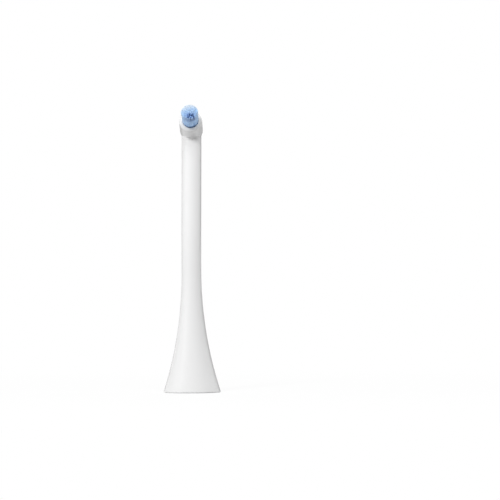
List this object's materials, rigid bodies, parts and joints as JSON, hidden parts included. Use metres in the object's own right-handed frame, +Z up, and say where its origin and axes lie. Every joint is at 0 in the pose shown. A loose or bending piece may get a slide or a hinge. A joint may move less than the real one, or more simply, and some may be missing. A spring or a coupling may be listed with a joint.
{
  "type": "electric toothbrush head",
  "caption": "Push-on brush head for an electric toothbrush: flared hollow skirt, slim leaning neck and a tilted round barrel with a single domed blue bristle tuft.",
  "frame": {"origin": "centre of the base rim, on the plane that the head stands on", "axes": "+Z up along the skirt's axis, -Y towards the side that the bristles face, +X to the right of someone who looks at the bristles"},
  "size_m": [0.0166, 0.0168, 0.0837],
  "materials": {
    "stem": "satin white moulded plastic",
    "insert": "natural white moulded plastic",
    "clip": "bright rolled spring steel",
    "bristles": "translucent light blue filaments with rounded ends",
    "anchor": "plain strip"
  },
  "bodies": {
    "root": {"brush_stem": "stem", "drive_insert": "insert", "spring_clip": "clip", "bristle_tuft": "bristles", "tuft_anchor": "anchor"}
  },
  "joints": []
}
